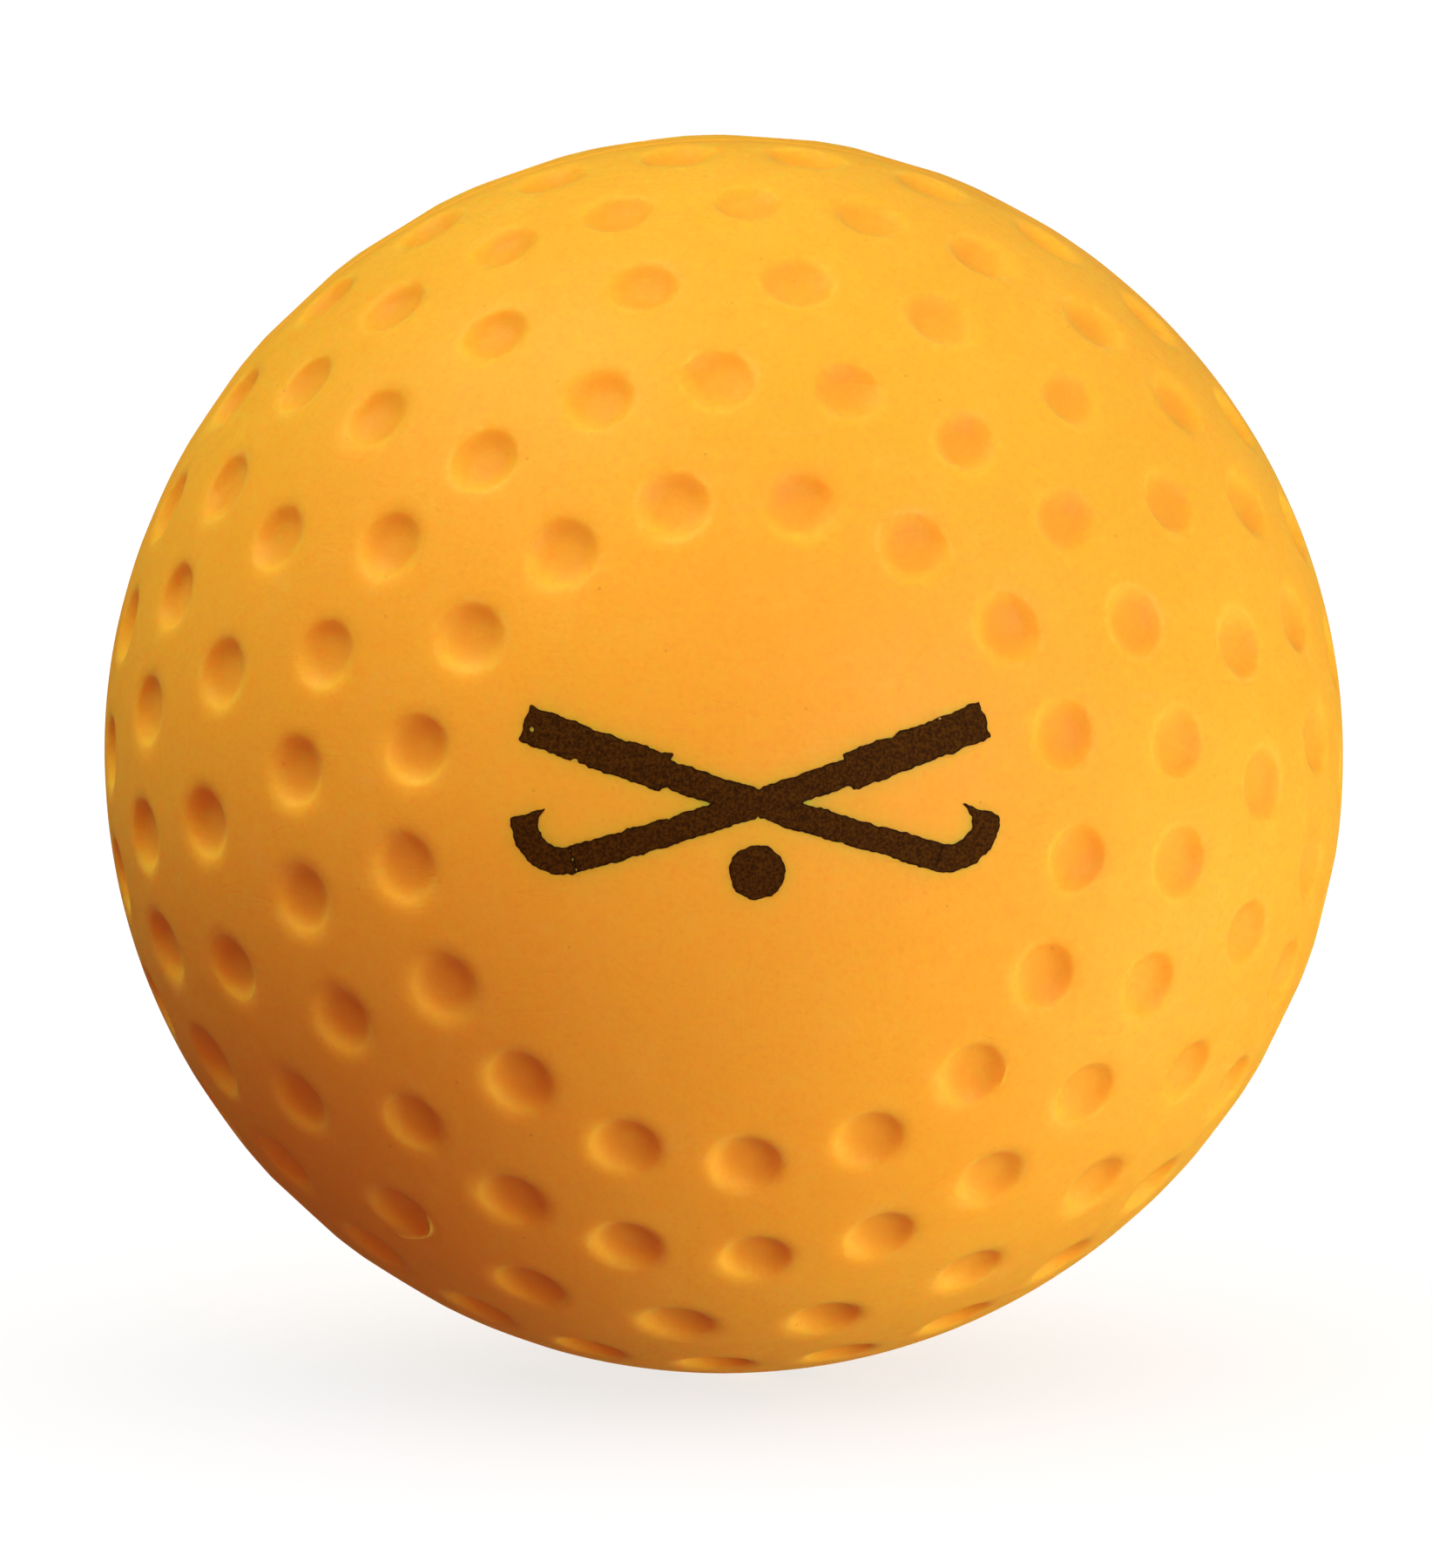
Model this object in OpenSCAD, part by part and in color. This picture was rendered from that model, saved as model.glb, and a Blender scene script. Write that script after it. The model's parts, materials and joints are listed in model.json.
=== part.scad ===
// Dimpled field hockey ball: a wound cork core inside a cover moulded in two halves.
// Millimetres. The origin is the centre of the ball and +Z is up. The printed panel
// faces -Y, and the cover halves meet on the plane y = 0.

/* [Ball] */
// Outside diameter of the ball
ball_diameter = 73; // [71.3:0.1:74.8]
// Thickness of the moulded cover on its blank panels
cover_thickness = 5; // [4:0.1:6]

/* [Dimples] */
// Width of a dimple across its rim
dimple_width = 4.16; // [3:0.02:5]
// Depth of a dimple below the surface of the ball
dimple_depth = 0.9; // [0.4:0.05:1.2]
// Width of the bevel that softens a dimple's rim
bevel_width = 0.8; // [0.2:0.05:1]
// Angle from the middle of a blank panel to its first ring of dimples
first_ring_angle = 32.3; // [28:0.1:36]
// Dimples in each ring, from the blank panel to the parting line
dimples_in_ring = [17, 22, 22, 30, 30]; // [12:1:32]
// Turn of the first dimple of each ring, anticlockwise from +X as seen from the front
ring_turn = [16.8, 10.2, 1.8, 4.5, 10.5]; // [0:0.1:30]

/* [Core] */
// Diameter of the cork and rubber centre
centre_diameter = 22; // [18:0.5:24]
// Thickness of each pair of cork cups
cork_thickness = 3; // [2:0.1:3.3]
// Thickness of the inner and the middle yarn winding
winding_thickness = 3.2; // [2:0.1:3.3]
// Thickness of the latex coat between the core and the cover
coat_thickness = 0.3; // [0.2:0.05:0.6]

/* [Printed mark] */
// Length of each stick of the crossed pair
stick_length = 28; // [22:0.5:30]
// Width of a stick's shaft
stick_width = 1.6; // [1:0.1:2]
// Width of a stick's grip
grip_width = 2.2; // [1.6:0.1:2.6]
// Length of a stick's grip
grip_length = 8.5; // [5:0.5:10]
// Tilt of each stick from level
stick_tilt = 18; // [10:1:25]
// Outer radius of the curved stick head
head_radius = 2.9; // [2.4:0.1:3.5]
// Radius of the ball drawn below the crossing
dot_radius = 1.6; // [0.8:0.1:2]
// Offset of the mark from the middle of the panel, to the right and upwards
mark_offset = [0.7, 2.6]; // [-4:0.1:4]
// Depth of the ink in the cover
ink_depth = 0.2; // [0.15:0.05:0.4]

/* [Hidden] */
$fn = 96;
ball_radius = ball_diameter / 2;
core_radius = ball_radius - cover_thickness;
ring_count = len(dimples_in_ring);
// The rings are evenly pitched, and the parting line lies half a pitch past the last one.
ring_pitch = (90 - first_ring_angle) / (ring_count - 0.5);

// The dimple is part of a sphere that meets the ball on a circle as wide as the rim.
rim_radius = dimple_width / 2;
rim_drop = ball_radius - sqrt(ball_radius ^ 2 - rim_radius ^ 2);
bowl_depth = dimple_depth - rim_drop;
bowl_radius = (rim_radius ^ 2 + bowl_depth ^ 2) / (2 * bowl_depth);
bowl_centre = ball_radius - dimple_depth + bowl_radius;

// The bevel is a cone across the rim's corner, half of its width inside the rim. The cone that
// cuts it starts inside the bowl and ends above the ball.
bevel_inner_radius = rim_radius - bevel_width / 2;
bevel_depth = sqrt(bowl_radius ^ 2 - bevel_inner_radius ^ 2) - sqrt(bowl_radius ^ 2 - rim_radius ^ 2);
cone_low_radius = rim_radius - bevel_width;
cone_high_radius = rim_radius + 2 * bevel_width;

// Outer radius of each layer of the core, from the centre outwards.
centre_radius = centre_diameter / 2;
inner_cork_radius = centre_radius + cork_thickness;
inner_winding_radius = inner_cork_radius + winding_thickness;
middle_cork_radius = inner_winding_radius + cork_thickness;
middle_winding_radius = middle_cork_radius + winding_thickness;
outer_cork_radius = middle_winding_radius + cork_thickness;
outer_winding_radius = core_radius - coat_thickness;

// Rise of a stick's curved tip above the middle of its curve
tip_rise = 0.4 * head_radius;
// How far a cutting shape reaches past the surface that it cuts through
clearance = 1;
// Facets of a dimple and of its bevel
dimple_facets = 32;

// Turns a half that is built with its pole on +Z to face the front, -Y.
module facing_front() {
    rotate([90, 0, 0]) children();
}

// Gives the rear half the same shape as the front one, turned about the vertical axis.
module facing_rear() {
    rotate([0, 0, 180]) facing_front() children();
}

// A closed round layer of the core.
module layer(inner, outer) {
    difference() {
        sphere(r = outer);
        sphere(r = inner);
    }
}

// Half of a round layer, with its pole on +Z and its rim on z = 0.
module half_layer(inner, outer) {
    difference() {
        layer(inner, outer);
        translate([-outer - clearance, -outer - clearance, -outer - clearance])
            cube([2 * (outer + clearance), 2 * (outer + clearance), outer + clearance]);
    }
}

// Height of the bevel's cone where it has this radius, for a dimple at the pole, +Z.
function bevel_height(radius) =
    ball_radius - rim_drop - (rim_radius + bevel_width / 2 - radius) * bevel_depth / bevel_width;

// The space that one dimple takes out of the cover at the pole: a bowl with a bevelled rim.
module dimple_space() {
    translate([0, 0, bowl_centre])
        sphere(r = bowl_radius, $fn = dimple_facets);
    translate([0, 0, bevel_height(cone_low_radius)])
        cylinder(
            h = bevel_height(cone_high_radius) - bevel_height(cone_low_radius),
            r1 = cone_low_radius, r2 = cone_high_radius, $fn = dimple_facets
        );
}

// One ring of dimples for a half whose pole is on +Z.
module dimple_ring(angle, count, turn) {
    for (i = [0 : count - 1])
        rotate([0, angle, turn + i * 360 / count])
            dimple_space();
}

module cover_half() {
    difference() {
        half_layer(core_radius, ball_radius);
        for (k = [0 : ring_count - 1])
            dimple_ring(first_ring_angle + k * ring_pitch, dimples_in_ring[k], ring_turn[k]);
    }
}

// The curved head of a stick, ending at +X, with the shaft's axis on y = 0.
module stick_head() {
    translate([stick_length / 2 - head_radius, head_radius - stick_width / 2])
        intersection() {
            difference() {
                circle(r = head_radius);
                circle(r = head_radius - stick_width);
            }
            translate([0, -head_radius])
                square([head_radius, head_radius + tip_rise]);
        }
}

// A hockey stick lying along X, centred on the origin, with its grip at -X.
module stick_outline() {
    translate([-stick_length / 2, -stick_width / 2])
        square([stick_length - head_radius, stick_width]);
    translate([-stick_length / 2, -grip_width / 2])
        square([grip_length, grip_width]);
    stick_head();
}

// The whole device: two crossed sticks and a ball below the crossing.
module mark_outline() {
    translate(mark_offset) {
        rotate(-stick_tilt) stick_outline();
        mirror([1, 0]) rotate(-stick_tilt) stick_outline();
        translate([0, -stick_width / 2 - 2 * dot_radius])
            circle(r = dot_radius);
    }
}

// The mark as a prism through the skin of the front panel.
module mark_prism() {
    facing_front()
        translate([0, 0, core_radius])
            linear_extrude(height = cover_thickness + clearance)
                mark_outline();
}

module front_cover_half() {
    color("orange")
        difference() {
            facing_front() cover_half();
            difference() {
                mark_prism();
                sphere(r = ball_radius - ink_depth);
            }
        }
}

module rear_cover_half() {
    color("orange") facing_rear() cover_half();
}

module printed_mark() {
    color("#2a1a08")
        intersection() {
            mark_prism();
            layer(ball_radius - ink_depth, ball_radius);
        }
}

module bonding_coat() {
    color("antiquewhite") layer(outer_winding_radius, core_radius);
}

module outer_winding() {
    color("ivory") layer(outer_cork_radius, outer_winding_radius);
}

module outer_cork_cup_front() {
    color("peru") facing_front() half_layer(middle_winding_radius, outer_cork_radius);
}

module outer_cork_cup_rear() {
    color("peru") facing_rear() half_layer(middle_winding_radius, outer_cork_radius);
}

module middle_winding() {
    color("ivory") layer(middle_cork_radius, middle_winding_radius);
}

module middle_cork_cup_front() {
    color("peru") facing_front() half_layer(inner_winding_radius, middle_cork_radius);
}

module middle_cork_cup_rear() {
    color("peru") facing_rear() half_layer(inner_winding_radius, middle_cork_radius);
}

module inner_winding() {
    color("ivory") layer(inner_cork_radius, inner_winding_radius);
}

module inner_cork_cup_front() {
    color("peru") facing_front() half_layer(centre_radius, inner_cork_radius);
}

module inner_cork_cup_rear() {
    color("peru") facing_rear() half_layer(centre_radius, inner_cork_radius);
}

module core_centre() {
    color("saddlebrown") sphere(r = centre_radius);
}

front_cover_half();
rear_cover_half();
printed_mark();
bonding_coat();
outer_winding();
outer_cork_cup_front();
outer_cork_cup_rear();
middle_winding();
middle_cork_cup_front();
middle_cork_cup_rear();
inner_winding();
inner_cork_cup_front();
inner_cork_cup_rear();
core_centre();
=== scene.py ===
"""Looks of a dimpled field hockey ball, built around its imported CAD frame.

The cover halves, the printed mark and every layer of the wound core are modelled here as new
meshes. Sizes are in millimetres until a mesh is made, and layer radii come from the frame.
"""

import json
import math
import random

import bpy
import numpy as np
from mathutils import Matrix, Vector, noise
from mathutils.geometry import delaunay_2d_cdt

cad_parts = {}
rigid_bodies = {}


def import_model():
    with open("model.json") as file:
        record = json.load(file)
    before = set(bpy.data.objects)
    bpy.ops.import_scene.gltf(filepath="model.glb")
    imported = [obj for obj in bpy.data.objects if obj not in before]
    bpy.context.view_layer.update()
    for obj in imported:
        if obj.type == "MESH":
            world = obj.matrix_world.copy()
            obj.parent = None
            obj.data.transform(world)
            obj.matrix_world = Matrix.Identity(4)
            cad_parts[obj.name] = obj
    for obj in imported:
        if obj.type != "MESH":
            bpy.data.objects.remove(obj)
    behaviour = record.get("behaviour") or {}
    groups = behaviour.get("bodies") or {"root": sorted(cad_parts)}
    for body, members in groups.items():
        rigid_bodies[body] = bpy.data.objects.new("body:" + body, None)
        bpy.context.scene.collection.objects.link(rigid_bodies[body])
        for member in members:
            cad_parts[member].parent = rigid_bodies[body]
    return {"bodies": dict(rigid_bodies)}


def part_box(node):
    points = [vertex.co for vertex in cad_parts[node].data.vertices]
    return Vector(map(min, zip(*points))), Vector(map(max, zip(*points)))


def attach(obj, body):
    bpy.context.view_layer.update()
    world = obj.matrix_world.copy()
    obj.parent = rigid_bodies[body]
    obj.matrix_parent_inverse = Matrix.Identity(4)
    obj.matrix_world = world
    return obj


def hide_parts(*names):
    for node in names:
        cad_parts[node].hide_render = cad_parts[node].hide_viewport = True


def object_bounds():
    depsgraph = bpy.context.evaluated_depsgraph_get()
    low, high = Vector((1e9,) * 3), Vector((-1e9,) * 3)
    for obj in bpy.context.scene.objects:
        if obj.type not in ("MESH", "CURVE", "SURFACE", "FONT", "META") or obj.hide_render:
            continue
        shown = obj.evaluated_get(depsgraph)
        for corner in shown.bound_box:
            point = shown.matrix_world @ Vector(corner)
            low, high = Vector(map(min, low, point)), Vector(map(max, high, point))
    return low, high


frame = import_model()
cad_lo, cad_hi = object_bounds()
BODY = next(iter(frame["bodies"]))
MM = 0.001


def outer_radius(node):
    """Outer radius of a round CAD node, in millimetres."""
    lo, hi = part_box(node)
    return (hi.x - lo.x) / 2 / MM


BALL_R = outer_radius("front_cover_half")
CORE_R = outer_radius("bonding_coat")

# The cover's dimples: angle of the first ring from the panel's middle, then the number and the turn of each
# ring's dimples. A dimple is a bowl with a flat floor, and its rim falls away over a wide soft shoulder.
FIRST_RING_DEG = 32.3
RINGS = ((17, 16.8), (22, 10.2), (22, 1.8), (30, 4.5), (30, 10.5))
RING_PITCH_DEG = (90 - FIRST_RING_DEG) / (len(RINGS) - 0.5)
RIM_R = 2.02
BOWL_DEPTH = 0.66
BOWL_FLATNESS = 3.2
SHOULDER_WIDTH = 0.85
SHOULDER_DEPTH = 0.15
RIM_ROUNDING = 0.06

# Moulding flash: thin lips of plastic left on a few rims. The large one is on the front half, on the dimple
# with this ring and number. A lip runs between two turns in degrees round the rim, then its tail leaves it.
LARGE_FLASH_PLACE = (2, 14)
LARGE_FLASH = {"start": 236, "end": 112, "height": 0.28, "tail": 0.7}
SMALL_FLASHES = 5
FLASH_WIDTH = 0.1
FLASH_STEPS = 64
TAIL_START = 0.6

# The land is not a true sphere: (height, features per radius, seed) of each wave on it.
LAND_WAVES = ((0.09, 1.4, 2), (0.03, 4, 7), (0.01, 12, 11))

# Where the halves were welded: (depth, width) of the buffed dip and of the fine line in it.
WELD_DIP = (0.035, 0.5)
WELD_LINE = (0.06, 0.12)


# ---------------------------------------------------------------- mesh helpers


def facing_front(points):
    """Turns local points, with the pole on +Z, so that the pole faces -Y."""
    x, y, z = np.asarray(points, float).T
    return np.stack((x, -z, y), axis=1)


def facing_rear(points):
    """Turns local points, with the pole on +Z, so that the pole faces +Y."""
    x, y, z = np.asarray(points, float).T
    return np.stack((-x, z, y), axis=1)


def new_piece(name, node, points, faces, crease_deg=40):
    """Makes a smooth-shaded mesh in metres that stands for one CAD node."""
    mesh = bpy.data.meshes.new(name)
    mesh.from_pydata((np.asarray(points) * MM).tolist(), [], faces)
    mesh.update()
    mesh.shade_smooth()
    mesh.set_sharp_from_angle(angle=math.radians(crease_deg))
    piece = bpy.data.objects.new(name, mesh)
    bpy.context.scene.collection.objects.link(piece)
    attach(piece, BODY)
    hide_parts(node)
    return piece


def add_attribute(piece, name, values):
    """Stores one number per vertex for a material to read."""
    layer = piece.data.attributes.new(name, "FLOAT", "POINT")
    layer.data.foreach_set("value", np.asarray(values, np.float32))


def flipped(faces):
    return [tuple(reversed(f)) for f in faces]


def shifted(faces, step):
    return [tuple(i + step for i in f) for f in faces]


def dome(colatitudes, segments):
    """Unit directions and outward faces of a dome from the +Z pole down through these colatitudes.

    The last ring is the dome's open edge, and its indices are the last `segments` ones.
    """
    points = [(0.0, 0.0, 1.0)]
    for angle in colatitudes:
        for i in range(segments):
            turn = 2 * math.pi * i / segments
            points.append((
                math.sin(angle) * math.cos(turn),
                math.sin(angle) * math.sin(turn),
                math.cos(angle),
            ))
    faces = []
    for i in range(segments):
        faces.append((0, 1 + i, 1 + (i + 1) % segments))
    for ring in range(len(colatitudes) - 1):
        top = 1 + ring * segments
        low = top + segments
        for i in range(segments):
            j = (i + 1) % segments
            faces.append((top + i, low + i, low + j, top + j))
    return np.array(points), faces


def round_shell(rings, segments):
    """Unit directions and outward faces of a whole sphere, closed at both poles."""
    angles = [math.pi * k / rings for k in range(1, rings)]
    points, faces = dome(angles, segments)
    south = len(points)
    points = np.vstack((points, (0.0, 0.0, -1.0)))
    last = south - segments
    for i in range(segments):
        faces.append((last + (i + 1) % segments, last + i, south))
    return points, faces


def fractal(direction, scale, seed):
    """Smooth noise of about -1 to 1 over a sphere of directions; scale is features per radius."""
    x, y, z = direction
    return noise.noise(Vector((x * scale + seed, y * scale - seed, z * scale + 2 * seed)))


# ---------------------------------------------------------------- cover


def sphere_direction(colatitude_deg, turn_deg):
    angle, turn = math.radians(colatitude_deg), math.radians(turn_deg)
    return np.array((
        math.sin(angle) * math.cos(turn),
        math.sin(angle) * math.sin(turn),
        math.cos(angle),
    ))


def tangents(direction):
    """Two unit vectors square to a direction and to each other."""
    side = np.cross(direction, (0.0, 0.0, 1.0))
    side /= np.linalg.norm(side)
    return side, np.cross(direction, side)


def make_dimples(seed, large_flash):
    """The dimples of one half, each with its own small differences from moulding and trimming."""
    draw = random.Random(seed)
    dimples = []
    for ring, (count, turn) in enumerate(RINGS):
        angle = FIRST_RING_DEG + ring * RING_PITCH_DEG
        for i in range(count):
            centre = sphere_direction(
                angle + draw.gauss(0, 0.12), turn + i * 360 / count + draw.gauss(0, 0.25)
            )
            softness = draw.random() ** 2
            dimples.append({
                "centre": centre,
                "rim": RIM_R * draw.uniform(0.97, 1.03),
                "depth": BOWL_DEPTH * draw.uniform(0.9, 1.1),
                "shoulder": SHOULDER_DEPTH * draw.uniform(0.75, 1.25),
                "width": SHOULDER_WIDTH * draw.uniform(0.85, 1.15),
                "rounding": RIM_ROUNDING * (1 + 2.5 * softness),
                "stretch": draw.uniform(-0.025, 0.025),
                "stretch_turn": draw.uniform(0, math.pi),
                # How strong the painted glow round this dimple's rim is.
                "rim_glow": draw.uniform(0.25, 1.0),
                "flash": LARGE_FLASH if large_flash and (ring, i) == LARGE_FLASH_PLACE else None,
            })
    for dimple in draw.sample(dimples, SMALL_FLASHES):
        start = draw.uniform(0, 360)
        small = {"start": start, "end": start + draw.uniform(20, 45), "height": 0.08, "tail": 0.1}
        dimple["flash"] = dimple["flash"] or small
    return dimples


def smooth_max(a, b, blend):
    """The larger of two surfaces, with their crossing rounded over about `blend`."""
    h = np.clip(0.5 + 0.5 * (a - b) / blend, 0, 1)
    return b + (a - b) * h + blend * h * (1 - h)


def dimple_distance(dimple, directions):
    """How far these unit directions are from the middle of a dimple that is slightly out of round."""
    side, up = tangents(dimple["centre"])
    turn = np.arctan2(directions @ up, directions @ side)
    distance = np.arccos(np.clip(directions @ dimple["centre"], -1, 1)) * BALL_R
    return distance * (1 + dimple["stretch"] * np.cos(2 * (turn - dimple["stretch_turn"])))


def dimple_drop(dimple, distance):
    """How far one dimple sinks the surface at these distances from its middle."""
    rim, width = dimple["rim"], dimple["width"]
    bowl = dimple["shoulder"] + dimple["depth"] * (1 - (distance / rim) ** BOWL_FLATNESS)
    reach = np.clip((distance - rim) / width, 0, 1)
    shoulder = dimple["shoulder"] * (1 - reach) ** 2
    drop = smooth_max(bowl, shoulder, dimple["rounding"])
    return np.where(distance > rim + width, 0.0, drop)


def flash_path(dimple):
    """Directions along the lip on a dimple's rim, which ends in a whisker that leaves the rim."""
    flash = dimple["flash"]
    side, up = tangents(dimple["centre"])
    share = np.linspace(0, 1, FLASH_STEPS)
    turn = np.radians(flash["start"] + (flash["end"] - flash["start"]) * share)
    away = np.clip((share - TAIL_START) / (1 - TAIL_START), 0, 1) ** 2
    angle = (dimple["rim"] + FLASH_WIDTH + flash["tail"] * away) / BALL_R
    way = np.outer(np.cos(turn), side) + np.outer(np.sin(turn), up)
    return dimple["centre"] * np.cos(angle)[:, None] + way * np.sin(angle)[:, None]


def flash_height(dimple, directions):
    """How far the lip stands up at these directions: a low round ridge that tapers to both ends."""
    path = flash_path(dimple)
    apart = np.linalg.norm(directions[:, None, :] - path[None, :, :], axis=2) * BALL_R
    nearest = apart.argmin(axis=1)
    taper = np.sin(math.pi * (0.04 + 0.92 * nearest / FLASH_STEPS)) ** 0.6
    return dimple["flash"]["height"] * taper * np.exp(-((apart.min(axis=1) / FLASH_WIDTH) ** 2))


def flash_points(dimple):
    """Extra directions in five lines along the lip, so that the mesh can carry it."""
    path = flash_path(dimple)
    along = np.gradient(path, axis=0)
    across = np.cross(path, along)
    across /= np.linalg.norm(across, axis=1)[:, None]
    found = []
    for offset in (-2, -1, 0, 1, 2):
        line = path + across * offset * FLASH_WIDTH / BALL_R
        found += list(line / np.linalg.norm(line, axis=1)[:, None])
    return found


def land_height(directions):
    """How far the moulded and buffed ball stands off a true sphere, for directions in the frame."""
    return np.array([
        sum(height * fractal(d, scale, seed) for height, scale, seed in LAND_WAVES) for d in directions
    ])


def weld_drop(directions):
    """How far the weld line sinks the surface at these directions on a half."""
    from_edge = np.abs(directions[:, 2]) * BALL_R
    return sum(depth * np.exp(-((from_edge / width) ** 2)) for depth, width in (WELD_DIP, WELD_LINE))


EDGE_SEGMENTS = 384
EDGE_LIFTS = (0.0, 0.05, 0.1, 0.17, 0.28, 0.45, 0.75)
INNER_SEGMENTS = 96
INNER_RINGS = 24
DIMPLE_STEPS = (
    0.18, 0.35, 0.5, 0.62, 0.72, 0.8, 0.87, 0.93, 0.97, 1.01, 1.06, 1.12, 1.19, 1.27, 1.36, 1.46, 1.57,
)
DIMPLE_SEGMENTS = 36
LAND_STEP = 0.85
LAND_CLEAR_OF_DIMPLES = 1.72 * RIM_R
LAND_CLEAR_OF_EDGE = 1.1
# The painted glow round each dimple: how far outside the rim its pale ring lies, and how wide it is.
RIM_GLOW_OFFSET = 0.28
RIM_GLOW_WIDTH = 0.22


def dimple_points(dimple):
    """Sample directions in circles round one dimple, close together at its rim."""
    side, up = tangents(dimple["centre"])
    found = [dimple["centre"]]
    for k, step in enumerate(DIMPLE_STEPS):
        angle = step * dimple["rim"] / BALL_R
        count = min(DIMPLE_SEGMENTS, 8 * (k + 1))
        for i in range(count):
            turn = 2 * math.pi * (i + 0.5 * (k % 2)) / count
            way = side * math.cos(turn) + up * math.sin(turn)
            found.append(dimple["centre"] * math.cos(angle) + way * math.sin(angle))
    return found


def edge_points():
    """The rim of the half, and a few circles just above it that carry the weld line."""
    found = []
    for k, lift in enumerate(EDGE_LIFTS):
        for i in range(EDGE_SEGMENTS):
            turn = 360 * (i + 0.5 * (k % 2)) / EDGE_SEGMENTS
            found.append(sphere_direction(90 - math.degrees(lift / BALL_R), turn))
    return found


def land_points(dimples):
    """Evenly spread directions on the land, clear of the dimples and of the rim."""
    centres = np.array([d["centre"] for d in dimples])
    clear = math.cos(LAND_CLEAR_OF_DIMPLES / BALL_R)
    rows = int(math.pi / 2 * BALL_R / LAND_STEP)
    found = [np.array((0.0, 0.0, 1.0))]
    for row in range(1, rows):
        angle = math.pi / 2 * row / rows
        if (math.pi / 2 - angle) * BALL_R < LAND_CLEAR_OF_EDGE:
            break
        count = max(6, round(2 * math.pi * math.sin(angle) * BALL_R / LAND_STEP))
        for i in range(count):
            point = sphere_direction(math.degrees(angle), 360 * (i + 0.5 * (row % 2)) / count)
            if (centres @ point).max() < clear:
                found.append(point)
    return found


def spread_faces(directions):
    """Outward triangles over directions on a half, from their map seen from the far pole."""
    flat = directions[:, :2] / (1 + directions[:, 2:3])
    made = delaunay_2d_cdt([Vector(p) for p in flat], [], [], 0, 1e-9)
    points, faces, origins = made[0], made[2], made[3]
    assert len(points) == len(directions)
    back = [o[0] for o in origins]
    faces = [tuple(back[i] for i in f) for f in faces]
    out = []
    for a, b, c in faces:
        (ax, ay), (bx, by), (cx, cy) = flat[a], flat[b], flat[c]
        leftward = (bx - ax) * (cy - ay) - (by - ay) * (cx - ax) > 0
        out.append((a, b, c) if leftward else (a, c, b))
    return out


def rim_faces(outer_start, inner_start):
    """Flat ring on the parting plane, from the outer edge to the coarser inner edge."""
    ratio = EDGE_SEGMENTS // INNER_SEGMENTS
    faces = []
    for j in range(INNER_SEGMENTS):
        near, far = inner_start + j, inner_start + (j + 1) % INNER_SEGMENTS
        for k in range(ratio):
            a = outer_start + (j * ratio + k) % EDGE_SEGMENTS
            b = outer_start + (j * ratio + k + 1) % EDGE_SEGMENTS
            faces.append((a, near if k < ratio // 2 else far, b))
        middle = outer_start + (j * ratio + ratio // 2) % EDGE_SEGMENTS
        faces.append((near, far, middle))
    return faces


def cover_half(name, node, facing, seed, large_flash):
    """One moulded half: dimpled outside, smooth inside, closed by the flat parting face."""
    dimples = make_dimples(seed, large_flash)
    directions = edge_points()
    for dimple in dimples:
        directions += dimple_points(dimple)
        if dimple["flash"]:
            directions += flash_points(dimple)
    directions += land_points(dimples)
    directions = np.array(directions)
    height = land_height(facing(directions)) - weld_drop(directions)
    sunk, pale = np.zeros(len(directions)), np.zeros(len(directions))
    for dimple in dimples:
        distance = dimple_distance(dimple, directions)
        drop = dimple_drop(dimple, distance)
        height -= drop
        sunk = np.maximum(sunk, drop)
        # Painted glow: a pale ring just outside each rim stands for light that the thin edge of the bowl
        # catches.
        ring = np.exp(-(((distance - dimple["rim"] - RIM_GLOW_OFFSET) / RIM_GLOW_WIDTH) ** 2))
        pale = np.maximum(pale, dimple["rim_glow"] * ring)
        if dimple["flash"]:
            near = np.flatnonzero(distance < dimple["rim"] + 2)
            lip = flash_height(dimple, directions[near])
            height[near] += lip
            # The flash lips get the painted glow too.
            pale[near] = np.maximum(pale[near], lip / LARGE_FLASH["height"])
    outside = directions * (BALL_R + height)[:, None]
    faces = spread_faces(directions)

    inner_angles = [math.pi / 2 * k / INNER_RINGS for k in range(1, INNER_RINGS + 1)]
    inside, inner_faces = dome(inner_angles, INNER_SEGMENTS)
    inner_start = len(outside)
    faces += flipped(shifted(inner_faces, inner_start))
    points = np.vstack((outside, inside * CORE_R))
    faces += rim_faces(0, len(points) - INNER_SEGMENTS)
    piece = new_piece(name, node, facing(points), faces)
    add_attribute(piece, "sunk", np.concatenate((sunk, np.zeros(len(inside)))))
    add_attribute(piece, "pale", np.concatenate((pale, np.zeros(len(inside)))))
    return piece


# ---------------------------------------------------------------- printed mark

STICK_LENGTH = 28.0
STICK_WIDTH = 1.6
GRIP_WIDTH = 2.2
GRIP_LENGTH = 8.5
STICK_TILT_DEG = 18
HEAD_R = 2.9
DOT_R = 1.6
INK_STEP = 0.09
INK_PROUD = 0.018
INK_SUNK = 0.05
INK_MARGIN = 0.6


def bar_distance(x, y, low_x, high_x, half_width):
    """Signed distance from a bar along X, negative inside."""
    off_x = np.abs(x - (low_x + high_x) / 2) - (high_x - low_x) / 2
    off_y = np.abs(y) - half_width
    outside = np.hypot(np.maximum(off_x, 0), np.maximum(off_y, 0))
    return outside + np.minimum(np.maximum(off_x, off_y), 0)


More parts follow.
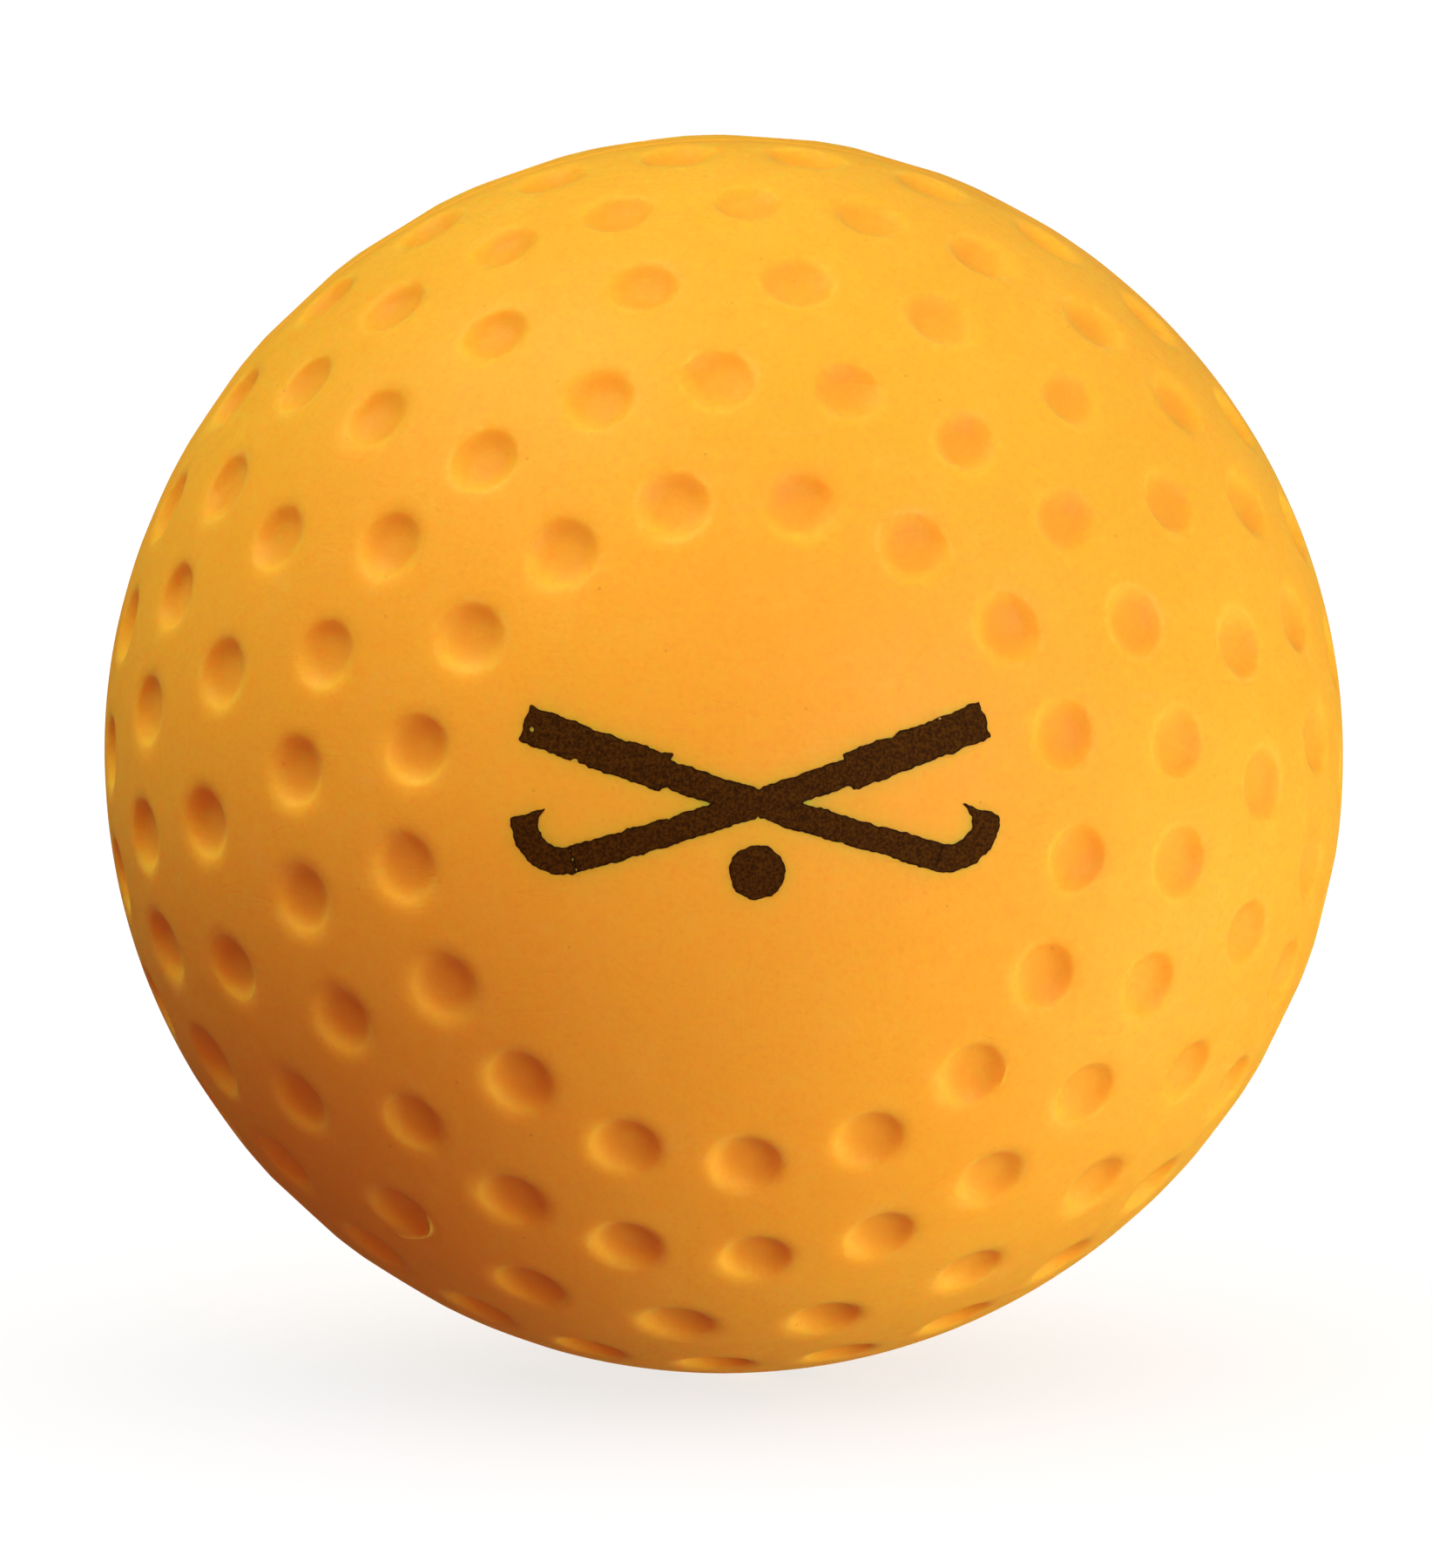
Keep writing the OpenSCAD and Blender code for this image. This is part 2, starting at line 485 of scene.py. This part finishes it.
def stick_distance(x, y):
    """Signed distance from one hockey stick along X, with its curved head at +X."""
    shaft = bar_distance(x, y, -STICK_LENGTH / 2, STICK_LENGTH / 2 - HEAD_R, STICK_WIDTH / 2)
    grip = bar_distance(x, y, -STICK_LENGTH / 2, GRIP_LENGTH - STICK_LENGTH / 2, GRIP_WIDTH / 2)
    across = x - (STICK_LENGTH / 2 - HEAD_R)
    up = y - (HEAD_R - STICK_WIDTH / 2)
    ring = np.abs(np.hypot(across, up) - (HEAD_R - STICK_WIDTH / 2)) - STICK_WIDTH / 2
    head = np.maximum(np.maximum(ring, -across), up - 0.4 * HEAD_R)
    return np.minimum(np.minimum(shaft, grip), head)


def mark_distance(x, y):
    """Signed distance from the whole device: two crossed sticks and a ball below the crossing."""
    c, s = math.cos(math.radians(STICK_TILT_DEG)), math.sin(math.radians(STICK_TILT_DEG))
    right = stick_distance(x * c - y * s, x * s + y * c)
    left = stick_distance(-x * c - y * s, -x * s + y * c)
    dot = np.hypot(x, y + STICK_WIDTH / 2 + 2 * DOT_R) - DOT_R
    return np.minimum(np.minimum(right, left), dot)


def ragged(x, y):
    """The uneven edge and the few pinholes that the ink has."""
    out = np.empty(x.shape)
    for i in np.ndindex(x.shape):
        u, v = x[i], y[i]
        coarse = noise.noise(Vector((u * 1.1, v * 1.1, 3.0)))
        fine = noise.noise(Vector((u * 3.4, v * 3.4, 9.0)))
        hole = noise.noise(Vector((u * 1.9, v * 1.9, 21.0)))
        out[i] = 0.13 * coarse + 0.09 * fine + max(0.0, hole - 0.66) * 6
    return out


def ink_cells(signed):
    """Corner keys of the ink's polygons on a grid: a key is a grid point or a cut on a grid edge."""
    rows, columns = signed.shape
    polygons = []
    for r in range(rows - 1):
        for c in range(columns - 1):
            corners = ((r, c), (r, c + 1), (r + 1, c + 1), (r + 1, c))
            inside = [signed[k] < 0 for k in corners]
            if not any(inside):
                continue
            if all(inside):
                polygons.append(list(corners))
                continue
            polygon = []
            for k in range(4):
                here, after = corners[k], corners[(k + 1) % 4]
                if inside[k]:
                    polygon.append(here)
                if inside[k] != inside[(k + 1) % 4]:
                    polygon.append((min(here, after), max(here, after)))
            if len(polygon) > 2:
                polygons.append(polygon)
    return polygons


def printed_mark():
    """A thin film of ink that follows the panel, with a ragged edge."""
    lo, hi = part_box("printed_mark")
    centre_x = (lo.x + hi.x) / 2 / MM
    reach_x = (hi.x - lo.x) / 2 / MM + INK_MARGIN
    reach_y = (hi.z - lo.z) / 2 / MM + INK_MARGIN
    dot_bottom = -STICK_WIDTH / 2 - 3 * DOT_R
    centre_y = lo.z / MM - dot_bottom
    middle_y = (lo.z + hi.z) / 2 / MM - centre_y
    xs = np.arange(-reach_x, reach_x, INK_STEP)
    ys = np.arange(middle_y - reach_y, middle_y + reach_y, INK_STEP)
    grid_x, grid_y = np.meshgrid(xs, ys)
    rough = mark_distance(grid_x, grid_y) + ragged(grid_x, grid_y)
    index, flat, edge = {}, [], []

    def corner(key):
        if key in index:
            return index[key]
        if isinstance(key[0], tuple):
            (r0, c0), (r1, c1) = key
            share = np.clip(rough[r0, c0] / (rough[r0, c0] - rough[r1, c1]), 0.03, 0.97)
            u = xs[c0] + share * (xs[c1] - xs[c0])
            v = ys[r0] + share * (ys[r1] - ys[r0])
            inset = 0.0
        else:
            u, v, inset = xs[key[1]], ys[key[0]], -rough[key]
        index[key] = len(flat)
        flat.append((u + centre_x, v + centre_y))
        edge.append(inset)
        return index[key]

    top = [tuple(corner(k) for k in polygon) for polygon in ink_cells(rough)]
    flat, edge = np.array(flat), np.array(edge)
    tall = np.sqrt(BALL_R**2 - (flat**2).sum(axis=1))
    directions = np.column_stack((flat, tall)) / BALL_R
    height = BALL_R + land_height(facing_front(directions))
    rounded = INK_PROUD * np.clip(edge / 0.1, 0.25, 1)
    upper = directions * (height + rounded)[:, None]
    lower = directions * (height - INK_SUNK)[:, None]
    below = len(flat)
    sides = {(a, b) for f in top for a, b in zip(f, f[1:] + f[:1])}
    walls = [(b, a, a + below, b + below) for a, b in sides if (b, a) not in sides]
    faces = top + flipped(shifted(top, below)) + sorted(walls)
    points = facing_front(np.vstack((upper, lower)))
    piece = new_piece("printed_mark_ink", "printed_mark", points, faces, 60)
    add_attribute(piece, "inset", np.concatenate((edge, np.zeros(below))))
    return piece


# ---------------------------------------------------------------- core


YARN_R = 0.42
YARN_SIDES = 6


def two_sided_shell(outer_points, inner_points, faces):
    """A closed hollow ball: outward faces outside, and the same faces turned over inside."""
    points = np.vstack((outer_points, inner_points))
    return points, faces + flipped(shifted(faces, len(outer_points)))


def yarn_loops(reach, loops, segments, seed):
    """Turns of yarn as closed round tubes on great circles, with how far along and around each point is."""
    draw = random.Random(seed)
    points, faces, along, around = [], [], [], []
    for k in range(loops):
        height = 1 - (2 * k + 1) / loops
        turn = k * math.pi * (3 - math.sqrt(5)) + draw.uniform(-0.3, 0.3)
        flat = math.sqrt(1 - height * height)
        pole = np.array((flat * math.cos(turn), flat * math.sin(turn), height))
        side, up = tangents(pole)
        start = len(points)
        lift = reach - YARN_R * (1 + 0.9 * draw.random())
        sway = draw.uniform(0.01, 0.05)
        for i in range(segments):
            angle = 2 * math.pi * i / segments
            out = side * math.cos(angle) + up * math.sin(angle)
            out = out + pole * sway * math.sin(2 * angle + turn)
            out /= np.linalg.norm(out)
            for j in range(YARN_SIDES):
                ring = 2 * math.pi * j / YARN_SIDES
                way = out * math.cos(ring) + pole * math.sin(ring)
                points.append(out * lift + way * YARN_R)
                along.append(angle * lift)
                around.append(j / YARN_SIDES)
        for i in range(segments):
            low = start + i * YARN_SIDES
            high = start + (i + 1) % segments * YARN_SIDES
            for j in range(YARN_SIDES):
                n = (j + 1) % YARN_SIDES
                faces.append((low + j, high + j, high + n, low + n))
    return np.array(points), faces, along, around


def winding(name, node, inside_node, loops, segments, seed):
    """A yarn layer: crossing turns of yarn over a packed bed of earlier turns."""
    outer, inner = outer_radius(node), outer_radius(inside_node)
    bed, bed_faces = round_shell(48, 96)
    bed_height = outer - 1.5 * YARN_R + np.array([0.06 * fractal(d, 14, seed) for d in bed])
    shell, faces = two_sided_shell(bed * bed_height[:, None], bed * inner, bed_faces)
    turns, turn_faces, along, around = yarn_loops(outer, loops, segments, seed)
    faces = faces + shifted(turn_faces, len(shell))
    piece = new_piece(name, node, np.vstack((shell, turns)), faces, 80)
    add_attribute(piece, "along", np.concatenate((np.zeros(len(shell)), along)))
    add_attribute(piece, "around", np.concatenate((np.zeros(len(shell)), around)))
    return piece


def pitted(direction, size, seed):
    """Depth of the small gaps between pressed cork granules, from 0 to 1."""
    place = Vector(direction) * size + Vector((seed, 0, 0))
    distances, _ = noise.voronoi(place)
    return max(0.0, 1 - (distances[1] - distances[0]) * 4)


def cork_cup(name, node, inside_node, facing, seed):
    """Half of a pressed cork layer, with worn edges and gaps between its granules."""
    outer, inner = outer_radius(node), outer_radius(inside_node)
    segments, rings = 144, 40
    angles = [math.pi / 2 * k / rings for k in range(1, rings + 1)]
    outside, faces = dome(angles, segments)
    gaps = np.array([pitted(d, outer / 1.7, seed) for d in outside])
    from_edge = outside[:, 2] * outer
    rim_wear_and_painted_glow = 0.25 * np.exp(-((from_edge / 0.4) ** 2))
    upper = outside * (outer - 0.16 * gaps - rim_wear_and_painted_glow)[:, None]
    lower = outside * (inner + 0.02 + 0.5 * rim_wear_and_painted_glow)[:, None]
    upper[:, 2] = np.maximum(upper[:, 2], 0.0)
    count = len(outside)
    edge = count - segments
    rim = []
    for i in range(segments):
        j = (i + 1) % segments
        rim.append((edge + i, edge + i + count, edge + j + count, edge + j))
    points, faces = two_sided_shell(upper, lower, faces)
    return new_piece(name, node, facing(points), faces + rim)


def core_centre():
    """The moulded cork and rubber centre, with a faint mould line and uneven granules."""
    reach = outer_radius("core_centre")
    points, faces = round_shell(72, 144)
    drop = np.array([0.14 * pitted(d, reach / 1.5, 4) + 0.05 * (1 + fractal(d, 9, 4)) for d in points])
    line = 0.12 * np.exp(-((points[:, 2] * reach / 0.35) ** 2))
    return new_piece(
        "core_centre_moulded", "core_centre",
        points * (reach - np.clip(drop - line, 0, 1))[:, None], faces,
    )


def bonding_coat():
    """The latex coat: brushed on, so that it is thicker and thinner in soft streaks."""
    outer, inner = outer_radius("bonding_coat"), outer_radius("outer_winding")
    points, faces = round_shell(90, 180)
    streaks = np.array([
        noise.noise(Vector((d[0] * 5, d[1] * 5, d[2] * 32))) + 0.5 * fractal(d, 16, 6) for d in points
    ])
    outside = points * (outer - 0.05 + 0.035 * np.clip(streaks, -1.4, 1.4))[:, None]
    shell, faces = two_sided_shell(outside, points * inner, faces)
    return new_piece("bonding_coat_latex", "bonding_coat", shell, faces)


# ---------------------------------------------------------------- materials


def add_node(tree, kind, inputs=None, **settings):
    """Adds a shader node. Each input is a value, or another node's output to link."""
    node = tree.nodes.new(kind)
    for key, value in settings.items():
        setattr(node, key, value)
    for key, value in (inputs or {}).items():
        if isinstance(value, bpy.types.NodeSocket):
            tree.links.new(value, node.inputs[key])
        else:
            node.inputs[key].default_value = value
    return node


class Graph:
    """A material's node tree, with short calls for the nodes that this object uses."""

    def __init__(self, name):
        self.material = bpy.data.materials.new(name)
        self.material.use_nodes = True
        self.tree = self.material.node_tree
        self.tree.nodes.clear()
        metres = self.add("ShaderNodeTexCoord").outputs["Object"]
        self.place = self.vector("SCALE", metres, scale=1 / MM)

    def add(self, kind, inputs=None, **settings):
        return add_node(self.tree, kind, inputs, **settings)

    def vector(self, operation, a, b=None, scale=None):
        inputs = {0: a}
        if b is not None:
            inputs[1] = b
        if scale is not None:
            inputs["Scale"] = scale
        return self.add("ShaderNodeVectorMath", inputs, operation=operation).outputs["Vector"]

    def math(self, operation, a, b=0.0):
        return self.add("ShaderNodeMath", {0: a, 1: b}, operation=operation).outputs[0]

    def noise(self, scale, detail=2.0, roughness=0.5, place=None):
        return self.add("ShaderNodeTexNoise", {
            "Vector": place or self.place, "Scale": scale, "Detail": detail, "Roughness": roughness,
        }).outputs["Fac"]

    def cells(self, scale, feature="F1"):
        return self.add("ShaderNodeTexVoronoi", {"Vector": self.place, "Scale": scale}, feature=feature)

    def attribute(self, name):
        return self.add("ShaderNodeAttribute", attribute_name=name).outputs["Fac"]

    def step(self, value, low, high, to_low=0.0, to_high=1.0):
        """Runs smoothly from to_low at low to to_high at high, and stays level beyond."""
        return self.add("ShaderNodeMapRange", {
            "Value": value, "From Min": low, "From Max": high, "To Min": to_low, "To Max": to_high,
        }, interpolation_type="SMOOTHSTEP").outputs["Result"]

    def mix(self, share, a, b):
        """Mixes two colours, each a socket or a linear (r, g, b)."""
        a, b = (c if isinstance(c, bpy.types.NodeSocket) else (*c, 1) for c in (a, b))
        return self.add("ShaderNodeMix", {0: share, 6: a, 7: b}, data_type="RGBA").outputs[2]

    def bump(self, height, distance_mm, normal=None):
        inputs = {"Height": height, "Distance": distance_mm * MM, "Strength": 1.0}
        if normal is not None:
            inputs["Normal"] = normal
        return self.add("ShaderNodeBump", inputs).outputs["Normal"]

    def finish(self, colour, roughness, normal=None, **more):
        inputs = {"Base Color": colour, "Roughness": roughness}
        inputs.update({key.replace("_", " "): value for key, value in more.items()})
        if normal is not None:
            inputs["Normal"] = normal
        shader = self.add("ShaderNodeBsdfPrincipled", inputs)
        self.add("ShaderNodeOutputMaterial", {"Surface": shader.outputs[0]})
        return self.material


AMBER = (0.95, 0.515, 0.038)
AMBER_DEEP = (0.94, 0.492, 0.035)
AMBER_PALE = (0.97, 0.55, 0.052)
# A deeper amber: random mottling, and the painted shade inside the dimple bowls.
AMBER_MOTTLE_AND_BOWL_SHADE = (0.86, 0.365, 0.030)
# A paler amber for the painted glow on the dimple rims and the flash lips.
AMBER_RIM_GLOW = (1.0, 0.59, 0.075)
SPECK = (0.42, 0.14, 0.02)
SCUFF = (0.95, 0.58, 0.12)


def cover_material():
    """Waxy amber plastic: soft colour drift, dark pin specks, pale scuffs, fine scratches, painted shade in
    the bowls and a painted glow on the rims.
    """
    g = Graph("cover_plastic")
    drift = g.noise(0.07, 2)
    mottle = g.noise(0.45, 4, 0.6)
    colour = g.mix(g.step(drift, 0.35, 0.65), AMBER, AMBER_DEEP)
    colour = g.mix(g.step(mottle, 0.45, 0.75, 0, 0.35), colour, AMBER_PALE)
    colour = g.mix(g.step(g.noise(2.4, 4, 0.7), 0.45, 0.7, 0, 0.3), colour, AMBER_MOTTLE_AND_BOWL_SHADE)
    # Painted shade: the deeper a dimple sinks, the more its bowl is darkened towards the deeper amber.
    colour = g.mix(g.step(g.attribute("sunk"), 0.15, 0.9, 0, 0.5), colour, AMBER_MOTTLE_AND_BOWL_SHADE)
    # Painted glow on the dimple rims and the flash lips, broken into patches by noise.
    rim_wear_and_painted_glow = g.math("MULTIPLY", g.step(g.attribute("pale"), 0.1, 1.0), g.step(g.noise(0.9, 2), 0.35, 0.65))
    colour = g.mix(g.math("MULTIPLY", rim_wear_and_painted_glow, 0.6), colour, AMBER_RIM_GLOW)

    specks = g.cells(0.5)
    small = g.step(specks.outputs["Distance"], 0.03, 0.07, 1, 0)
    pick = g.add("ShaderNodeSeparateColor", {"Color": specks.outputs["Color"]}).outputs[0]
    chosen = g.math("MULTIPLY", small, g.step(pick, 0.55, 0.85))
    colour = g.mix(g.math("MULTIPLY", chosen, 0.35), colour, SPECK)

    stretched = g.vector("MULTIPLY", g.place, (0.16, 0.5, 1.3))
    streak = g.noise(1.0, 5, 0.65, stretched)
    patch = g.noise(0.11, 3, 0.6)
    scuff = g.math("MULTIPLY", g.step(streak, 0.5, 0.7), g.step(patch, 0.52, 0.66))
    colour = g.mix(g.math("MULTIPLY", scuff, 0.2), colour, SCUFF)

    slanted = g.vector("MULTIPLY", g.place, (0.09, 0.09, 0.55))
    line = g.math("ABSOLUTE", g.math("SUBTRACT", g.noise(1.3, 1, 0.4, slanted), 0.5))
    scratch = g.math("MULTIPLY", g.step(line, 0.0, 0.006, 1, 0), g.step(g.noise(0.2, 2), 0.5, 0.6))

    grain = g.noise(3.2, 3, 0.6)
    peel = g.noise(0.8, 2, 0.5)
    normal = g.bump(peel, 0.040)
    normal = g.bump(grain, 0.012, normal)
    normal = g.bump(scratch, -0.012, normal)
    roughness = g.math("ADD", g.step(peel, 0.3, 0.7, 0.44, 0.54), g.math("MULTIPLY", scuff, 0.15))
    # Light can't scatter from one half into the other, so scattering fades out towards the weld line.
    from_weld = g.math("ABSOLUTE", g.add("ShaderNodeSeparateXYZ", {0: g.place}).outputs[1])
    return g.finish(
        colour, roughness, normal, Specular_IOR_Level=0.12, Sheen_Weight=0.02, Sheen_Roughness=0.5,
        Subsurface_Weight=g.step(from_weld, 0.4, 2.6), Subsurface_Scale=0.0018,
        Subsurface_Radius=(1.0, 0.22, 0.08),
    )


def ink_material():
    """Dark brown ink: grainy inside, nearly black along its edge."""
    g = Graph("print_ink")
    grain = g.noise(5.0, 3, 0.7)
    colour = g.mix(g.step(grain, 0.35, 0.7), (0.030, 0.011, 0.0015), (0.085, 0.034, 0.003))
    edge = g.step(g.attribute("inset"), 0.02, 0.14, 1, 0)
    colour = g.mix(g.math("MULTIPLY", edge, 0.8), colour, (0.012, 0.006, 0.0015))
    normal = g.bump(grain, 0.008)
    return g.finish(colour, g.step(grain, 0.3, 0.7, 0.6, 0.8), normal, Specular_IOR_Level=0.02)


def yarn_material():
    """Undyed twisted yarn: two plies turn round each other, with loose fibres."""
    g = Graph("yarn")
    turns = g.math("ADD", g.math("MULTIPLY", g.attribute("along"), 0.8), g.attribute("around"))
    wave = g.math("SINE", g.math("MULTIPLY", turns, 4 * math.pi))
    ply = g.step(wave, -1, 1)
    fibre = g.noise(4.0, 5, 0.75)
    colour = g.mix(ply, (0.46, 0.38, 0.25), (0.78, 0.70, 0.53))
    colour = g.mix(g.step(fibre, 0.4, 0.7, 0, 0.5), colour, (0.88, 0.83, 0.70))
    colour = g.mix(g.step(g.noise(0.12, 2), 0.45, 0.65, 0, 0.3), colour, (0.60, 0.50, 0.34))
    normal = g.bump(fibre, 0.08, g.bump(ply, 0.12))
    return g.finish(colour, 0.9, normal, Specular_IOR_Level=0.15, Sheen_Weight=0.4)


def granule_material(name, light, dark, seam, size, roughness):
    """Pressed granules, each its own shade, with dark seams between them."""
    g = Graph(name)
    granules = g.cells(size)
    seams = g.cells(size, "DISTANCE_TO_EDGE")
    shade = g.add("ShaderNodeSeparateColor", {"Color": granules.outputs["Color"]}).outputs[1]
    colour = g.mix(shade, dark, light)
    colour = g.mix(g.step(g.noise(2.6, 5, 0.7), 0.45, 0.7, 0, 0.45), colour, seam)
    gap = g.step(seams.outputs["Distance"], 0.0, 0.08, 1, 0)
    colour = g.mix(g.math("MULTIPLY", gap, 0.75), colour, seam)
    normal = g.bump(g.noise(3.5, 4, 0.7), 0.06, g.bump(gap, -0.12))
    return g.finish(colour, roughness, normal, Specular_IOR_Level=0.2)


def latex_material():
    """Dried latex over yarn: cream, with thin and thick streaks."""
    g = Graph("latex")
    streak = g.noise(1.0, 4, 0.6, g.vector("MULTIPLY", g.place, (0.15, 0.15, 0.9)))
    colour = g.mix(g.step(streak, 0.35, 0.65), (0.66, 0.55, 0.34), (0.82, 0.76, 0.58))
    colour = g.mix(g.step(g.noise(0.9, 4), 0.6, 0.75, 0, 0.4), colour, (0.52, 0.40, 0.22))
    normal = g.bump(streak, 0.05, g.bump(g.noise(2.0, 3), 0.03))
    return g.finish(
        colour, g.step(streak, 0.3, 0.7, 0.35, 0.5), normal,
        Subsurface_Weight=0.2, Subsurface_Scale=0.001, Subsurface_Radius=(1.0, 0.7, 0.4),
    )


# The floor is a disc this many metres from its middle to its edge.
FLOOR_REACH = 8.0
FLOOR_SIDES = 96
FLOOR_GLOW = 0.76


def floor_material():
    """A pale floor lit from below, as a light table is, so that the ball's shadow on it stays faint."""
    g = Graph("pale_floor")
    colour = g.mix(g.noise(0.02, 3), (0.24, 0.24, 0.24), (0.26, 0.26, 0.26))
    return g.finish(
        colour, 0.9, Specular_IOR_Level=0.0,
        Emission_Color=(0.955, 1.0, 0.985, 1), Emission_Strength=FLOOR_GLOW,
    )


# ---------------------------------------------------------------- stage, light and camera


def aim(obj, azimuth_deg, elevation_deg, distance):
    """Puts an object at an angle round the ball, as the frame's views count it, facing the ball."""
    a, e = math.radians(azimuth_deg), math.radians(elevation_deg)
    way = Vector((math.sin(a) * math.cos(e), -math.cos(a) * math.cos(e), math.sin(e)))
    obj.location = way * distance
    obj.rotation_mode = "QUATERNION"
    obj.rotation_quaternion = (-way).to_track_quat("-Z", "Y")


def soft_lamp(name, azimuth_deg, elevation_deg, colour, size=0.5, distance=0.7):
    """A square soft box. Its colour is the linear radiance of a white surface that faces it."""
    data = bpy.data.lights.new(name, "AREA")
    data.size = size
    brightness = max(colour)
    data.color = [c / brightness for c in colour]
    data.energy = brightness * math.pi**2 * distance**2
    lamp = bpy.data.objects.new(name, data)
    bpy.context.scene.collection.objects.link(lamp)
    aim(lamp, azimuth_deg, elevation_deg, distance)
    lamp.visible_camera = False
    return lamp


def make_floor():
    """A wide round floor that the ball rests on. It takes light but throws none back."""
    mesh = bpy.data.meshes.new("floor")
    points = [(0.0, 0.0, cad_lo.z)]
    for i in range(FLOOR_SIDES):
        turn = 2 * math.pi * i / FLOOR_SIDES
        points.append((FLOOR_REACH * math.cos(turn), FLOOR_REACH * math.sin(turn), cad_lo.z))
    mesh.from_pydata(points, [], [(0, 1 + i, 1 + (i + 1) % FLOOR_SIDES) for i in range(FLOOR_SIDES)])
    mesh.materials.append(floor_material())
    floor = bpy.data.objects.new("floor", mesh)
    bpy.context.scene.collection.objects.link(floor)
    floor.visible_shadow = False
    floor.visible_diffuse = False
    floor.visible_glossy = False
    return floor


def light_group(name, floor, state):
    """A collection that includes or leaves out the floor, for lamps to be linked to."""
    group = bpy.data.collections.new(name)
    group.objects.link(floor)
    group.collection_objects[0].light_linking.link_state = state
    return group


# The fill light's linear colour on the camera's side and behind the ball, and how softly they meet.
FILL_FRONT = (0.42, 0.150, 0.235)
FILL_REAR = (0.10, 0.042, 0.065)
FILL_BLEND = 0.4


def make_world():
    """Dim warm fill light, mostly from the camera's side. The camera itself sees plain white."""
    world = bpy.data.worlds.new("studio")
    world.use_nodes = True
    bpy.context.scene.world = world
    world.cycles_visibility.glossy = False
    tree = world.node_tree
    tree.nodes.clear()
    way = add_node(tree, "ShaderNodeTexCoord").outputs["Generated"]
    split = add_node(tree, "ShaderNodeSeparateXYZ", {0: way})
    rearward = add_node(tree, "ShaderNodeMapRange", {
        "Value": split.outputs["Y"], "From Min": -FILL_BLEND, "From Max": FILL_BLEND,
    })
    warm = add_node(tree, "ShaderNodeMix", {
        0: rearward.outputs["Result"], 6: (*FILL_FRONT, 1), 7: (*FILL_REAR, 1),
    }, data_type="RGBA")
    fill = add_node(tree, "ShaderNodeBackground", {"Color": warm.outputs[2]})
    white = add_node(tree, "ShaderNodeBackground", {"Color": (1, 1, 1, 1)})
    from_camera = add_node(tree, "ShaderNodeLightPath").outputs["Is Camera Ray"]
    seen = add_node(tree, "ShaderNodeMixShader", {0: from_camera, 1: fill.outputs[0], 2: white.outputs[0]})
    add_node(tree, "ShaderNodeOutputWorld", {"Surface": seen.outputs[0]})


OVERHEAD_POWER = 3.4
OVERHEAD_SPREAD_DEG = 140


def make_light(floor):
    """Soft boxes on the ball, and one wide overhead light on the floor."""
    boxes = light_group("lit_by_boxes", floor, "EXCLUDE")
    # A reflection of the rear box would draw a bright line round the ball's outline, so it makes none.
    rear_lamp = soft_lamp("rear_box", 178, -8, (0.98, 0.80, 0.70), size=0.4)
    rear_lamp.visible_glossy = False
    for lamp in (
        soft_lamp("top_left_box", -84, 62, (0.80, 0.84, 0.60)),
        soft_lamp("low_right_box", 88, -26, (0.56, 0.48, 0.27)),
        soft_lamp("front_right_box", 37, 12, (0.68, 0.72, 0.78)),
        rear_lamp,
    ):
        lamp.light_linking.receiver_collection = boxes
    data = bpy.data.lights.new("overhead", "SUN")
    data.energy = OVERHEAD_POWER
    data.angle = math.radians(OVERHEAD_SPREAD_DEG)
    overhead = bpy.data.objects.new("overhead", data)
    bpy.context.scene.collection.objects.link(overhead)
    overhead.light_linking.receiver_collection = light_group("lit_from_above", floor, "INCLUDE")
    make_world()


def make_camera():
    """A long lens, a little left of the panel and above it. The ball is just off the frame's middle."""
    data = bpy.data.cameras.new("camera")
    camera = bpy.data.objects.new("camera", data)
    bpy.context.scene.collection.objects.link(camera)
    bpy.context.scene.camera = camera
    distance_in_radii = 40
    radius_share_of_height = 0.395
    data.sensor_width = 36
    data.lens = radius_share_of_height * data.sensor_width * math.sqrt(distance_in_radii**2 - 1)
    data.shift_x = -0.0048
    data.shift_y = -0.0191
    data.clip_start, data.clip_end = 0.05, 60
    aim(camera, -1.93, 8.57, distance_in_radii * BALL_R * MM)


def paint(material, *pieces):
    for piece in pieces:
        piece.data.materials.append(material)


def main():
    paint(
        cover_material(),
        cover_half("cover_front", "front_cover_half", facing_front, 3, True),
        cover_half("cover_rear", "rear_cover_half", facing_rear, 8, False),
    )
    paint(ink_material(), printed_mark())
    paint(latex_material(), bonding_coat())
    paint(
        yarn_material(),
        winding("outer_yarn", "outer_winding", "outer_cork_cup_front", 170, 72, 31),
        winding("middle_yarn", "middle_winding", "middle_cork_cup_front", 125, 60, 32),
        winding("inner_yarn", "inner_winding", "inner_cork_cup_front", 90, 48, 33),
    )
    cups = []
    for layer, inside, seed in (
        ("outer", "middle_winding", 41),
        ("middle", "inner_winding", 43),
        ("inner", "core_centre", 45),
    ):
        for end, facing in (("front", facing_front), ("rear", facing_rear)):
            name = f"{layer}_cork_{end}"
            cups.append(cork_cup(name, f"{layer}_cork_cup_{end}", inside, facing, seed))
    cork = granule_material("cork", (0.50, 0.29, 0.13), (0.30, 0.16, 0.07), (0.12, 0.06, 0.03), 0.6, 0.85)
    paint(cork, *cups)
    cork_rubber = granule_material(
        "cork_rubber", (0.27, 0.14, 0.07), (0.10, 0.055, 0.035), (0.035, 0.022, 0.018), 0.65, 0.6
    )
    paint(cork_rubber, core_centre())
    floor = make_floor()
    make_light(floor)
    make_camera()
    bpy.context.scene.view_settings.view_transform = "Standard"


main()
